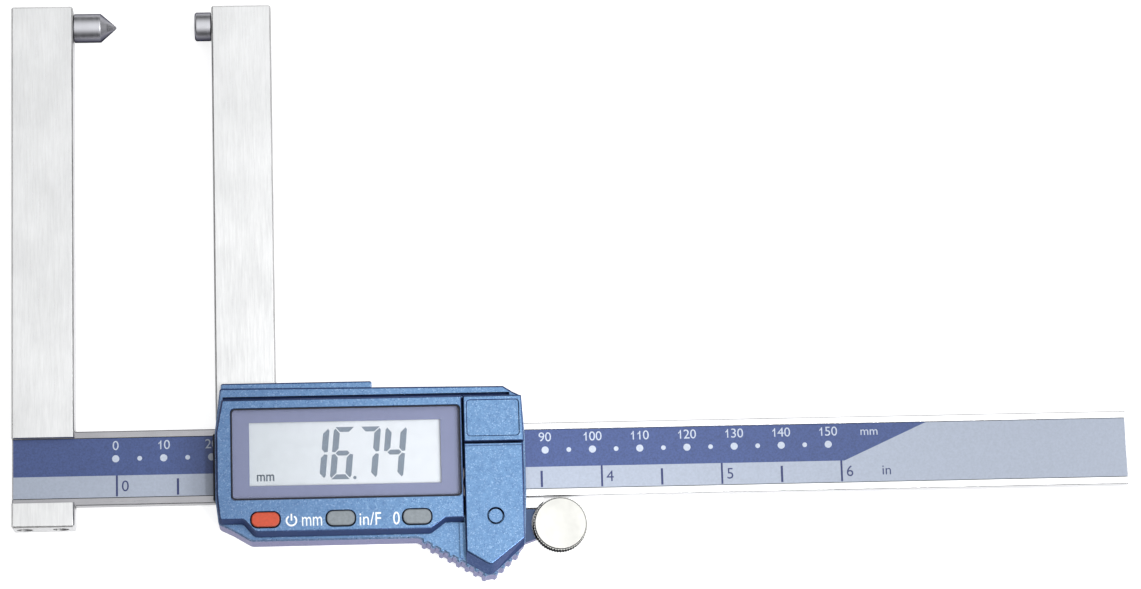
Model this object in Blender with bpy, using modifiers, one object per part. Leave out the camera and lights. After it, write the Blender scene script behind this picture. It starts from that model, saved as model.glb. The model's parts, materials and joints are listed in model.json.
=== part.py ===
"""Digital caliper with two long arms, built as an assembly of separate pieces.

Dimensions are in millimetres and the helpers turn them into metres. X runs along the beam towards its
free end, Y along the arms, and Z out of the display. The origin is where the beam's centre line crosses the
middle of the fixed arm, on the flat back. Slider pieces use X from the moving arm's left edge.
"""

import math

import bmesh
import bpy
from mathutils import Matrix, Vector

MM = 0.001
GAP = 0.3

# Driving dimensions
READING = 16.74
ARM_DEPTH = 7.0
ARM_HALF = 6.55
MOVING_ARM_WIDTH = 12.75
ARM_TOP = 99.75
MOVING_ARM_TOP = 99.5
FOOT_BOTTOM = -12.65

BEAM_LEFT = -ARM_HALF
BEAM_RIGHT = BEAM_LEFT + 235.5
BEAM_HALF = 7.75
BEAM_LOW = -8.0
BEAM_BACK = 2.1
BEAM_FRONT = 5.3
GROOVE_LOW = -6.42
GROOVE_HIGH = 6.25
GROOVE_FLOOR = 4.3

ANVIL_RADIUS = 3.1
ANVIL_Y = 95.7
ANVIL_Z = ARM_DEPTH / 2
ANVIL_STEM_RADIUS = 2.0
ANVIL_STEM_LENGTH = 7.5
POINT_REACH = 9.1
FLAT_REACH = 3.61
SET_SCREWS = (-3.95, 3.55)

POINT_X = ARM_HALF + POINT_REACH
SLIDER_X = POINT_X + READING + FLAT_REACH

# Slider sizes, X from the moving arm's left edge
PLATE_TOP = 1.8
RAIL_TOP = 5.3
CASE_BACK = 2.1
CASE_TOP = 10.3
COVER_BACK = 10.6
COVER_TOP = 13.8
COVER_SPLIT = 51.4
COVER_EDGE = 12.95
PORT_EDGE = 2.55
FOOT_Y = 9.1
BOARD_BACK = 5.7
BOARD_TOP = 6.7
BUTTON_Y = -13.0
BUTTON_X = {"power_button": 10.3, "unit_button": 25.85, "zero_button": 41.65}
BUTTON_LENGTH = 6.0
BUTTON_HEIGHT = 3.2
BUTTON_TOP = 14.3
WINDOW = (3.25, -8.85, 51.05, 10.45)
DISPLAY = (7.1, -5.8, 46.9, 7.55)
ROLLER_X = 71.8
ROLLER_RADIUS = 5.7
ROLLER_Y = BEAM_LOW - GAP - ROLLER_RADIUS
ROLLER_BACK = 2.1
ROLLER_FRONT = 6.6
PLUG_X = 57.95
PLUG_Y = -13.15
PLUG_RADIUS = 1.5
BATTERY_X = 56.3
BATTERY_Y = -5.5
BATTERY_RADIUS = 5.8

STEEL = ((0.80, 0.80, 0.79), 0.35, 1.0)
PIN_STEEL = ((0.42, 0.42, 0.44), 0.3, 1.0)
DARK_STEEL = ((0.25, 0.25, 0.27), 0.4, 1.0)
BRONZE = ((0.66, 0.42, 0.20), 0.35, 1.0)
BLUE = ((0.13, 0.30, 0.52), 0.42, 0.0)
LABEL_BLUE = ((0.08, 0.12, 0.33), 0.45, 0.0)
MASK_GREY = ((0.26, 0.26, 0.40), 0.5, 0.0)
CLEAR = ((0.95, 0.97, 0.98), 0.05, 0.0)
LCD_GREY = ((0.74, 0.78, 0.79), 0.35, 0.0)
RED = ((0.78, 0.10, 0.03), 0.55, 0.0)
GREY = ((0.33, 0.37, 0.36), 0.55, 0.0)
BLACK = ((0.02, 0.02, 0.025), 0.6, 0.0)
BOARD_GREEN = ((0.03, 0.18, 0.07), 0.45, 0.0)
GOLD = ((0.85, 0.62, 0.25), 0.3, 1.0)


def clear_scene():
    for obj in list(bpy.data.objects):
        bpy.data.objects.remove(obj, do_unlink=True)


def new_collection(name):
    collection = bpy.data.collections.new(name)
    bpy.context.scene.collection.children.link(collection)
    return collection


def new_material(name, look):
    colour, roughness, metallic = look
    material = bpy.data.materials.new(name)
    material.use_nodes = True
    shader = material.node_tree.nodes["Principled BSDF"]
    shader.inputs["Base Color"].default_value = (*colour, 1.0)
    shader.inputs["Roughness"].default_value = roughness
    shader.inputs["Metallic"].default_value = metallic
    return material


def new_empty(name, location, parent=None):
    empty = bpy.data.objects.new(name, None)
    empty.location = Vector(location) * MM
    empty.parent = parent
    PARTS.objects.link(empty)
    return empty


clear_scene()
PARTS = new_collection("digital_caliper")
CUTTERS = new_collection("cutters")
SLIDER = new_empty("slider_axis", (SLIDER_X, 0, 0))


# Outlines: a corner is (x, y) or (x, y, radius), turned into points with round corners as arcs


def corner_points(before, corner, after, radius, steps=5):
    here = Vector(corner[:2])
    back = (Vector(before[:2]) - here).normalized()
    ahead = (Vector(after[:2]) - here).normalized()
    half = back.angle(ahead) / 2
    reach = radius / math.tan(half)
    centre = here + (back + ahead).normalized() * (radius / math.sin(half))
    start = here + back * reach - centre
    end = here + ahead * reach - centre
    sweep = start.angle_signed(end)
    return [centre + Matrix.Rotation(-sweep * i / steps, 2) @ start for i in range(steps + 1)]


def outline(corners):
    points = []
    for i, corner in enumerate(corners):
        if len(corner) == 3:
            after = corners[(i + 1) % len(corners)]
            points += corner_points(corners[i - 1], corner, after, corner[2])
        else:
            points.append(Vector(corner))
    return points


def rectangle(x0, y0, x1, y1, radius=0.0):
    corners = [(x0, y0), (x1, y0), (x1, y1), (x0, y1)]
    if radius:
        corners = [(x, y, radius) for x, y in corners]
    return corners


# Solids


def finish(obj, look, parent, cutter=False):
    obj.parent = parent
    if cutter:
        CUTTERS.objects.link(obj)
        obj.hide_render = True
        obj.display_type = "WIRE"
    else:
        PARTS.objects.link(obj)
        obj.data.materials.clear()
        obj.data.materials.append(new_material(obj.name + "_material", look))
    return obj


def mesh_object(name, bm, location=(0, 0, 0)):
    bmesh.ops.recalc_face_normals(bm, faces=bm.faces)
    mesh = bpy.data.meshes.new(name)
    bm.to_mesh(mesh)
    bm.free()
    obj = bpy.data.objects.new(name, mesh)
    obj.location = Vector(location) * MM
    return obj


def box(name, low, high, look=None, parent=None, chamfer=0.0, cutter=False):
    """A box between two corners, with optional chamfered edges."""
    size = Vector(high) - Vector(low)
    middle = (Vector(high) + Vector(low)) / 2
    bm = bmesh.new()
    bmesh.ops.create_cube(bm, size=1.0)
    bmesh.ops.scale(bm, vec=size * MM, verts=bm.verts)
    bmesh.ops.translate(bm, vec=middle * MM, verts=bm.verts)
    if chamfer:
        bmesh.ops.bevel(bm, geom=bm.edges, offset=chamfer * MM, segments=1, profile=0.5, affect="EDGES")
    return finish(mesh_object(name, bm), look, parent, cutter)


def cylinder(name, centre, radius, low, high, look=None, parent=None, sides=32, axis="Z", cutter=False):
    """A cylinder along one axis: centre holds its two coordinates across that axis, in order."""
    bm = bmesh.new()
    bmesh.ops.create_cone(
        bm, cap_ends=True, segments=sides, radius1=radius * MM, radius2=radius * MM, depth=(high - low) * MM
    )
    along = (low + high) / 2
    if axis == "X":
        turn = Matrix.Rotation(math.pi / 2, 4, "Y")
        place = Vector((along, centre[0], centre[1]))
    elif axis == "Y":
        turn = Matrix.Rotation(math.pi / 2, 4, "X")
        place = Vector((centre[0], along, centre[1]))
    else:
        turn = Matrix.Identity(4)
        place = Vector((centre[0], centre[1], along))
    bmesh.ops.transform(bm, matrix=Matrix.Translation(place * MM) @ turn, verts=bm.verts)
    obj = finish(mesh_object(name, bm), look, parent, cutter)
    obj.data.shade_smooth()
    obj.data.set_sharp_from_angle(angle=math.radians(35))
    return obj


def plate(
    name, corners, low, high, look=None, parent=None, rim=0.0, rim_steps=2, cutter=False, location=(0, 0, 0)
):
    """A flat outline given thickness along Z, with an optional rounded front rim."""
    curve = bpy.data.curves.new(name, "CURVE")
    curve.dimensions = "2D"
    curve.fill_mode = "BOTH"
    curve.extrude = (high - low) / 2 * MM
    spline = curve.splines.new("POLY")
    points = outline(corners)
    spline.points.add(len(points) - 1)
    for target, point in zip(spline.points, points):
        target.co = (point.x * MM, point.y * MM, 0.0, 1.0)
    spline.use_cyclic_u = True
    drawn = bpy.data.objects.new(name + "_outline", curve)
    PARTS.objects.link(drawn)
    depsgraph = bpy.context.evaluated_depsgraph_get()
    mesh = bpy.data.meshes.new_from_object(drawn.evaluated_get(depsgraph))
    bpy.data.objects.remove(drawn)
    bm = bmesh.new()
    bm.from_mesh(mesh)
    bpy.data.meshes.remove(mesh)
    bmesh.ops.remove_doubles(bm, verts=bm.verts, dist=0.00001)
    bmesh.ops.dissolve_limit(bm, angle_limit=0.01, verts=bm.verts, edges=bm.edges)
    bmesh.ops.translate(bm, vec=Vector((0, 0, (low + high) / 2 * MM)), verts=bm.verts)
    if rim:
        top = high * MM - 1e-6
        edges = [e for e in bm.edges if all(v.co.z > top for v in e.verts)]
        bmesh.ops.bevel(bm, geom=edges, offset=rim * MM, segments=rim_steps, profile=0.5, affect="EDGES")
    return finish(mesh_object(name, bm, location), look, parent, cutter)


def turned(name, profile, look=None, parent=None, sides=32, location=(0, 0, 0), turn=None, cutter=False):
    """A solid of revolution about Z: profile runs down its outer side as (radius, height)."""
    mesh = bpy.data.meshes.new(name)
    points = [(r * MM, 0.0, z * MM) for r, z in profile]
    mesh.from_pydata(points, [(i, i + 1) for i in range(len(points) - 1)], [])
    obj = finish(bpy.data.objects.new(name, mesh), look, parent, cutter)
    obj.location = Vector(location) * MM
    if turn:
        obj.rotation_euler = turn
    screw = obj.modifiers.new("turn", "SCREW")
    screw.axis = "Z"
    screw.steps = sides
    screw.render_steps = sides
    screw.use_merge_vertices = True
    screw.merge_threshold = 0.000001
    return obj


def cut(obj, *tools):
    """Takes the tools away from the object."""
    for tool in tools:
        modifier = obj.modifiers.new("cut_" + tool.name, "BOOLEAN")
        modifier.operation = "DIFFERENCE"
        modifier.object = tool
    return obj


def cut_box(obj, name, low, high, parent=None):
    return cut(obj, box(name, low, high, parent=parent, cutter=True))


def cut_hole(obj, name, centre, radius, low, high, parent=None, axis="Z", sides=24):
    tool = cylinder(name, centre, radius, low, high, parent=parent, sides=sides, axis=axis, cutter=True)
    return cut(obj, tool)


# Beam assembly


def make_beam():
    low = (BEAM_LEFT, BEAM_LOW, BEAM_BACK)
    high = (BEAM_RIGHT, BEAM_HALF, BEAM_FRONT)
    beam = box("beam", low, high, STEEL, chamfer=0.2)
    cut_box(
        beam,
        "scale_groove",
        (BEAM_LEFT - 1, GROOVE_LOW, GROOVE_FLOOR),
        (BEAM_RIGHT + 1, GROOVE_HIGH, BEAM_FRONT + 1),
    )
    low = (BEAM_LEFT + GAP, GROOVE_LOW + 0.1)
    high = (BEAM_RIGHT - GAP, GROOVE_HIGH - 0.1)
    box("stator_strip", (*low, GROOVE_FLOOR + 0.1), (*high, GROOVE_FLOOR + 0.55), BOARD_GREEN)
    box("scale_label", (*low, GROOVE_FLOOR + 0.65), (*high, BEAM_FRONT - 0.05), LABEL_BLUE)


def make_fixed_arm():
    arm = box(
        "fixed_arm", (-ARM_HALF, FOOT_BOTTOM, 0), (ARM_HALF, ARM_TOP, ARM_DEPTH), STEEL, chamfer=0.35
    )
    clear = BEAM_LOW - GAP
    cut_box(arm, "foot_channel", (-9, clear, BEAM_BACK - GAP), (9, BEAM_HALF + GAP, BEAM_FRONT + GAP))
    cut_box(arm, "foot_window", (-9, -7.45, BEAM_FRONT), (9, GROOVE_HIGH + 0.1, ARM_DEPTH + 1))
    stem_hole = ANVIL_STEM_RADIUS + GAP
    cut_hole(arm, "point_hole", (ANVIL_Y, ANVIL_Z), stem_hole, -2, ARM_HALF + 1, axis="X")
    outside = FOOT_BOTTOM - 1
    for number, x in enumerate(SET_SCREWS, 1):
        centre = (x, ANVIL_Z)
        cut_hole(arm, f"foot_hole_{number}", centre, 1.7, outside, BEAM_LOW, axis="Y", sides=20)
        name = f"arm_set_screw_{number}"
        grub = cylinder(name, centre, 1.4, FOOT_BOTTOM + 0.4, clear, DARK_STEEL, sides=20, axis="Y")
        cut_hole(grub, f"hex_{number}", centre, 0.75, outside, FOOT_BOTTOM + 1.9, axis="Y", sides=6)


def anvil_profile(reach, tip):
    """Stem, shoulder and tip of an anvil, from the tip down, with the shoulder's seat at height 0."""
    body = [(ANVIL_RADIUS, GAP / 2), (ANVIL_STEM_RADIUS, GAP / 2)]
    stem = [(ANVIL_STEM_RADIUS, -ANVIL_STEM_LENGTH), (0.0, -ANVIL_STEM_LENGTH)]
    return tip(reach) + body + stem


def point_tip(reach):
    """A cone with a small rounded point."""
    nose = 0.4
    slope = math.radians(41)
    turn = math.pi / 2 - slope
    steps = 3
    centre = reach - nose
    angles = [turn * i / steps for i in range(steps + 1)]
    points = [(nose * math.sin(a), centre + nose * math.cos(a)) for a in angles]
    radius, height = points[-1]
    return points + [(ANVIL_RADIUS, height - (ANVIL_RADIUS - radius) / math.tan(slope))]


def flat_tip(reach):
    edge = 0.35
    return [(0.0, reach), (ANVIL_RADIUS - edge, reach), (ANVIL_RADIUS, reach - edge)]


def make_anvils():
    turned(
        "pointed_anvil",
        anvil_profile(POINT_REACH, point_tip),
        PIN_STEEL,
        sides=36,
        location=(ARM_HALF, ANVIL_Y, ANVIL_Z),
        turn=(0, math.pi / 2, 0),
    )
    turned(
        "flat_anvil",
        anvil_profile(FLAT_REACH, flat_tip),
        PIN_STEEL,
        SLIDER,
        sides=36,
        location=(0, ANVIL_Y, ANVIL_Z),
        turn=(0, -math.pi / 2, 0),
    )


# Slider: steel frame, arm and guide


def screw(name, location, turn, length, shank=0.8, head=1.5, parent=SLIDER):
    """A countersunk screw with a slotted head: its head faces +Z before it is turned."""
    drop = head - shank
    profile = [(0, 0), (head, 0), (head, -0.25), (shank, -0.25 - drop), (shank, -length), (0, -length)]
    piece = turned(name, profile, DARK_STEEL, parent, sides=20, location=location, turn=turn)
    slot = box(
        name + "_slot", (-head - 1, -0.18, -0.4), (head + 1, 0.18, 1), parent=parent, cutter=True
    )
    slot.location = Vector(location) * MM
    slot.rotation_euler = turn
    return cut(piece, slot)


def seat(obj, name, location, turn, length, shank=0.8, head=1.5):
    """Cuts a countersunk hole with running room round a screw."""
    wide = head + GAP
    thin = shank + GAP
    end = -length - GAP
    profile = [(0, 1), (wide, 1), (wide, -0.25), (thin, -0.25 - wide + thin), (thin, end), (0, end)]
    tool = turned(name, profile, None, SLIDER, sides=20, location=location, turn=turn, cutter=True)
    return cut(obj, tool)


FLIP = (math.pi, 0, 0)
CASE_SCREWS = ((16.5, 13.7), (59.5, 13.7), (8.6, -13.6), (58.0, -14.4))
PLATE_EDGE = 15.8
ARM_SCREWS = ((3.4, 11.2), (9.4, 11.2))
GIB_SCREWS = (24.0, 52.0)
GIB_Z = 3.7
SCREW_SINK = 0.15


def make_frame():
    """Back plate with the two rails that guide the beam, and the tongue that carries the roller."""
    corners = [
        (1.3, -12.6, 1.0),
        (3.6, -13.6, 1.0),
        (7.4, -16.2, 1.0),
        (62.0, -16.6, 1.2),
        (66.0, -16.6),
        (ROLLER_X + 1.0, ROLLER_Y - 3.6, 2.0),
        (ROLLER_X + 3.6, ROLLER_Y, 2.0),
        (ROLLER_X + 1.0, ROLLER_Y + 3.6, 1.5),
        (67.0, -8.6),
        (63.8, -8.6),
        (63.8, PLATE_EDGE, 1.0),
        (1.3, PLATE_EDGE, 1.2),
    ]
    frame = plate("slider_frame", corners, 0, PLATE_TOP, STEEL, SLIDER)
    top_rail = (MOVING_ARM_WIDTH + GAP, FOOT_Y, PLATE_TOP - 0.5)
    low_rail = (1.4, -10.4, PLATE_TOP - 0.5)
    for name, low, high in (
        ("top_rail", top_rail, (62.8, 12.3, RAIL_TOP)),
        ("low_rail", low_rail, (68.4, BEAM_LOW - GAP, RAIL_TOP)),
    ):
        rail = frame.modifiers.new(name, "BOOLEAN")
        rail.operation = "UNION"
        rail.object = box(name, low, high, parent=SLIDER, cutter=True)
    room = ROLLER_RADIUS + GAP
    cut_hole(frame, "roller_room", (ROLLER_X, ROLLER_Y), room, PLATE_TOP - 0.1, 12, SLIDER, sides=48)
    cut_hole(frame, "axle_hole", (ROLLER_X, ROLLER_Y), 1.5 + GAP, -1, 3, SLIDER)
    for number, x in enumerate(GIB_SCREWS, 1):
        centre = (x, GIB_Z)
        cut_hole(frame, f"gib_hole_{number}", centre, 1.0 + GAP, 8, 14, SLIDER, axis="Y", sides=20)
        name = f"gib_screw_{number}"
        grub = cylinder(name, centre, 1.0, 9.15, 12.2, DARK_STEEL, SLIDER, sides=20, axis="Y")
        cut_box(grub, f"gib_slot_{number}", (x - 2, 11.6, GIB_Z - 0.2), (x + 2, 13, GIB_Z + 0.2), SLIDER)
    for number, (x, y) in enumerate(CASE_SCREWS, 1):
        spot = (x, y, SCREW_SINK)
        seat(frame, f"case_screw_seat_{number}", spot, FLIP, 4.9, head=1.2)
        screw(f"case_screw_{number}", spot, FLIP, 4.9, head=1.2)
    for number, (x, y) in enumerate(ARM_SCREWS, 1):
        spot = (x, y, SCREW_SINK)
        seat(frame, f"arm_screw_seat_{number}", spot, FLIP, 5.0)
        screw(f"arm_screw_{number}", spot, FLIP, 5.0)
    return frame


def make_moving_arm():
    """The arm's foot is thinner at the back, where the frame's plate passes behind it."""
    high = (MOVING_ARM_WIDTH, MOVING_ARM_TOP, ARM_DEPTH)
    arm = box("moving_arm", (0, FOOT_Y, 0), high, STEEL, SLIDER, chamfer=0.35)
    step = (MOVING_ARM_WIDTH + 1, PLATE_EDGE + GAP, PLATE_TOP + GAP)
    cut_box(arm, "arm_step", (-1, FOOT_Y - 1, -1), step, SLIDER)
    cut_hole(arm, "flat_hole", (ANVIL_Y, ANVIL_Z), ANVIL_STEM_RADIUS + GAP, -1, 8.5, SLIDER, axis="X")
    for number, (x, y) in enumerate(ARM_SCREWS, 1):
        cut_hole(arm, f"arm_tap_{number}", (x, y), 0.8 + GAP, 0, 5.6, SLIDER, sides=20)


def make_guides():
    box("gib_strip", (1.5, BEAM_HALF + 0.15, 2.3), (62.8, FOOT_Y - 0.15, 5.1), BRONZE, SLIDER, chamfer=0.1)
    box("wiper_left", (-0.55, -8.2, 5.7), (0.7, 6.0, 9.4), BLACK, SLIDER, chamfer=0.2)
    box("wiper_right", (63.4, -8.2, 5.7), (64.65, 5.6, 9.4), BLACK, SLIDER, chamfer=0.2)
    profile = [(0, 3.9), (1.5, 3.9), (1.5, 0.3), (0, 0.3)]
    turned("roller_axle", profile, STEEL, SLIDER, sides=24, location=(ROLLER_X, ROLLER_Y, 0))


# Slider: case and covers

# The thumb rest is a V below the case's bottom edge
REST_LEFT = (42.3, -17.2)
REST_TIP = (56.5, -25.3)


def teeth(start, end, count, height=0.5):
    """Blunt grip teeth along a straight edge; the outline turns so that they stand on its outer side."""
    start = Vector(start)
    step = (Vector(end) - start) / count
    out = Vector((step.y, -step.x)).normalized() * height
    points = []
    for i in range(count):
        root = start + step * i
        points += [root + step * 0.2, root + step * 0.35 + out, root + step * 0.65 + out, root + step * 0.8]
    return [tuple(p) for p in points]


def case_outline():
    left = [(1.05, 15.4, 0.6), (-0.1, 6.0, 2.0), (-0.1, -8.2, 2.0), (0.5, -13.3, 1.0), (3.4, -14.7, 1.5)]
    bottom = [(7.2, -17.0, 2.0), (41.8, -17.0, 1.0)]
    grip = teeth(REST_LEFT, REST_TIP, 8) + teeth((57.0, -25.2), (63.0, -19.8), 4)
    right = [(64.1, -18.4), (64.6, -8.5, 1.0), (64.6, 4.0, 1.0), (64.1, 12.7, 0.5), (62.2, 13.6, 0.5)]
    return left + bottom + grip + right + [(60.3, 14.85, 0.5)]


def join(obj, tool):
    modifier = obj.modifiers.new("join_" + tool.name, "BOOLEAN")
    modifier.operation = "UNION"
    modifier.object = tool


def make_lower_case():
    case = plate("lower_case", case_outline(), CASE_BACK, CASE_TOP, BLUE, SLIDER, rim=0.35, rim_steps=1)
    strip = box("top_strip", (1.2, 14.0, 3.0), (32.8, 16.6, 9.2), parent=SLIDER, chamfer=0.3, cutter=True)
    join(case, strip)
    tab = [(60.0, -10.75), (69.5, -10.75), (69.5, -16.0), (64.0, -17.9), (60.0, -17.9)]
    join(case, plate("roller_tab", tab, CASE_BACK, 5.2, parent=SLIDER, cutter=True))
    room = ROLLER_RADIUS + GAP
    cut_hole(case, "case_roller_room", (ROLLER_X, ROLLER_Y), room, 0, 12, SLIDER, sides=48)
    cut_box(case, "beam_tunnel", (-3, -8.35, 0), (70, 8.3, 5.6), SLIDER)
    cut_box(case, "rail_pocket", (1.1, -10.7, 0), (63.1, 12.6, 5.6), SLIDER)
    cut_box(case, "low_rail_slot", (50, -10.7, 0), (70, -5, 5.6), SLIDER)
    cut_box(case, "arm_notch", (-2, 5.0, 0), (MOVING_ARM_WIDTH + GAP, 20, ARM_DEPTH + GAP), SLIDER)
    cut_box(case, "wiper_notch_left", (-3, -8.5, 5.0), (1.0, 6.3, 9.7), SLIDER)
    cut_box(case, "wiper_notch_right", (63.1, -8.5, 5.0), (67, 5.9, 9.7), SLIDER)
    left = [(2.2, 12.4), (2.2, -12.2), (5.6, -12.2), (7.9, -15.4)]
    right = [(44.6, -15.4), (47.2, -12.4), (62.4, -12.4), (62.4, 12.4)]
    cut(case, plate("board_cavity", left + right, 5.5, COVER_TOP, parent=SLIDER, cutter=True))
    low = (1.6, COVER_EDGE - 0.2, CASE_TOP - 1.0)
    cut_box(case, "edge_groove", low, (61.6, COVER_EDGE + 0.55, 12), SLIDER)
    join(case, box("split_rib", (50.5, -21.5, 9.5), (51.15, -14.2, 11.2), parent=SLIDER, cutter=True))
    for number, (x, y) in enumerate(CASE_SCREWS, 1):
        cut_hole(case, f"case_tap_{number}", (x, y), 0.8 + GAP, 0, 5.35, SLIDER, sides=20)
    for number, x in enumerate(GIB_SCREWS, 1):
        cut_hole(case, f"gib_access_{number}", (x, GIB_Z), 1.3, 10, 18, SLIDER, axis="Y", sides=20)
    cut_hole(case, "cover_tap", (PLUG_X, PLUG_Y), 0.8 + GAP, 7.2, 12, SLIDER, sides=20)


def slope_top(obj, move):
    """Moves the front face's corners with a function of x and y, in millimetres."""
    mesh = obj.data
    top = max(v.co.z for v in mesh.vertices) - 1e-6
    for v in mesh.vertices:
        if v.co.z > top:
            x, y = move(v.co.x / MM, v.co.y / MM)
            v.co.x = x * MM
            v.co.y = y * MM


def round_rim(obj, width, steps=2):
    bm = bmesh.new()
    bm.from_mesh(obj.data)
    top = max(v.co.z for v in bm.verts) - 1e-6
    edges = [e for e in bm.edges if all(v.co.z > top for v in e.verts)]
    bmesh.ops.bevel(bm, geom=edges, offset=width * MM, segments=steps, profile=0.5, affect="EDGES")
    bm.to_mesh(obj.data)
    bm.free()


def make_front_cover():
    corners = [
        (1.4, COVER_EDGE, 0.4),
        (0.15, 6.0, 1.0),
        (0.15, -8.0, 1.0),
        (0.7, -13.4, 0.6),
        (5.6, -13.4, 1.2),
        (8.0, -16.2, 1.5),
        (44.5, -16.2, 1.5),
        (47.6, -13.9, 1.2),
        (COVER_SPLIT, -13.9),
        (COVER_SPLIT, COVER_EDGE),
    ]
    cover = plate("front_cover", corners, COVER_BACK, COVER_TOP, BLUE, SLIDER)
    slope_top(cover, lambda x, y: (x * 0.996 + 0.2, y * 0.952 - 0.1))
    round_rim(cover, 0.25)
    skin = 11.9
    left = [(1.9, 11.6), (1.9, -11.6), (5.2, -12.2), (7.6, -15.0)]
    right = [(44.2, -15.0), (46.6, -12.0), (50.4, -12.0), (50.4, 11.6)]
    cut(cover, plate("cover_cavity", left + right, COVER_BACK - 1, skin, parent=SLIDER, cutter=True))
    x0, y0, x1, y1 = WINDOW
    cut(cover, plate("window_recess", rectangle(x0, y0, x1, y1, 0.8), 12.35, 15, parent=SLIDER, cutter=True))
    cut_box(cover, "display_opening", (5.2, -7.4, 11), (48.8, 8.8, 13), SLIDER)
    for name, x in BUTTON_X.items():
        hole = rectangle(*button_box(x, 0.15), 1.5)
        cut(cover, plate(name + "_hole", hole, 11, 15, parent=SLIDER, cutter=True))


def button_box(x, grow=0.0):
    half_x = BUTTON_LENGTH / 2 + grow
    half_y = BUTTON_HEIGHT / 2 + grow
    return (x - half_x, BUTTON_Y - half_y, x + half_x, BUTTON_Y + half_y)


def make_window():
    x0, y0, x1, y1 = WINDOW
    inside = 0.12
    frame = rectangle(x0 + inside, y0 + inside, x1 - inside, y1 - inside, 0.7)
    plate("window_lens", frame, 12.9, 13.65, CLEAR, SLIDER, rim=0.1, rim_steps=1)
    mask = plate("display_mask", frame, 12.5, 12.75, MASK_GREY, SLIDER)
    u0, v0, u1, v1 = DISPLAY
    cut_box(mask, "mask_opening", (u0, v0, 12), (u1, v1, 13), SLIDER)
    box("lcd_panel", (5.6, -7.0, 11.0), (48.4, 8.4, 12.1), LCD_GREY, SLIDER)
    box("lcd_connector", (8.0, 6.4, 6.9), (46.0, 8.0, 10.8), BLACK, SLIDER, chamfer=0.2)


def rest_slope(x, y):
    """Slopes the battery cover's front face back from the thumb rest's two edges."""
    if y > -15:
        return min(x, 63.9), y
    if x < REST_TIP[0]:
        return x, y + 2.0
    fall = (x - REST_TIP[0]) / (63.9 - REST_TIP[0])
    return min(x, 63.9), y + 2.0 - 0.75 * fall


def make_right_covers():
    left = COVER_SPLIT + GAP
    top = PORT_EDGE - GAP
    corners = [(left, top), (left, -22.4), (56.7, -25.35, 1.3), (63.9, -19.0, 0.6), (64.2, -8), (64.2, top)]
    cover = plate("battery_cover", corners, COVER_BACK, COVER_TOP, BLUE, SLIDER)
    slope_top(cover, rest_slope)
    round_rim(cover, 0.25)
    line = top - 0.55
    cut_box(cover, "edge_line", (52.0, line - 0.14, COVER_TOP - 0.25), (63.6, line, 15), SLIDER)
    cut_box(cover, "battery_room", (52.8, -11.9, 9), (63.1, 0.6, 12.6), SLIDER)
    cut_hole(cover, "plug_seat", (PLUG_X, PLUG_Y), PLUG_RADIUS + GAP, 11.8, 15, SLIDER, sides=32)
    cut_hole(cover, "cover_screw_hole", (PLUG_X, PLUG_Y), 0.8 + GAP, 9, 13, SLIDER)
    screw("battery_cover_screw", (PLUG_X, PLUG_Y, 12.75), (0, 0, 0), 5.0, head=1.35)
    cylinder("screw_plug", (PLUG_X, PLUG_Y), PLUG_RADIUS, 13.0, COVER_TOP - 0.1, BLUE, SLIDER, sides=32)

    corners = [(left, PORT_EDGE), (64.2, PORT_EDGE), (64.2, 4.0), (63.9, 12.75, 0.3), (left, 12.75)]
    port = plate("port_cover", corners, COVER_BACK, COVER_TOP, BLUE, SLIDER)
    slope_top(port, lambda x, y: (x, y - 0.5 if y > 12 else y))
    round_rim(port, 0.25)
    cut_box(port, "port_room", (52.8, 3.3, 9), (63.0, 11.7, 12.4), SLIDER)
    shape = rectangle(52.4, 3.7, 63.3, 11.35, 0.7)
    cut(port, plate("finger_recess", shape, COVER_TOP - 0.2, 15, parent=SLIDER, cutter=True))


# Slider: electronics


def make_electronics():
    corners = [
        (2.6, -12.0),
        (5.8, -12.0),
        (8.1, -15.1),
        (44.4, -15.1),
        (46.9, -12.1),
        (62.0, -12.1),
        (62.0, 12.1),
        (13.5, 12.1),
        (13.5, 8.7),
        (2.6, 8.7),
    ]
    plate("circuit_board", corners, BOARD_BACK, BOARD_TOP, BOARD_GREEN, SLIDER)
    arc = [(4.0 * math.sin(a), 1.1 * math.cos(a)) for a in (i * math.pi / 12 for i in range(7))]
    arc[0] = (0.0, 1.1)
    profile = arc + [(0.0, 0.0)]
    turned("processor_blob", profile, BLACK, SLIDER, sides=24, location=(25.0, -1.5, BOARD_TOP + 0.1))
    bottom = 7.4
    edge = BATTERY_RADIUS
    cell = [(0, 3.05), (4.6, 3.05), (4.8, 2.75), (edge - 0.3, 2.75), (edge, 2.45), (edge, 0.2)]
    cell += [(edge - 0.2, 0), (0, 0)]
    turned("battery", cell, STEEL, SLIDER, sides=32, location=(BATTERY_X, BATTERY_Y, bottom))
    box("battery_contact_minus", (51.6, -6.6, 6.85), (61.2, -4.4, 7.15), GOLD, SLIDER)
    box("battery_contact_plus", (49.6, -7.6, 6.85), (49.9, -3.4, 10.2), GOLD, SLIDER)
    socket = box("data_socket", (54.0, 4.6, 6.9), (61.5, 10.4, 9.9), BLACK, SLIDER, chamfer=0.2)
    cut_box(socket, "socket_slot", (55.2, 6.4, 8.4), (60.3, 8.6, 11), SLIDER)


# Pieces that move by themselves


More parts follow.
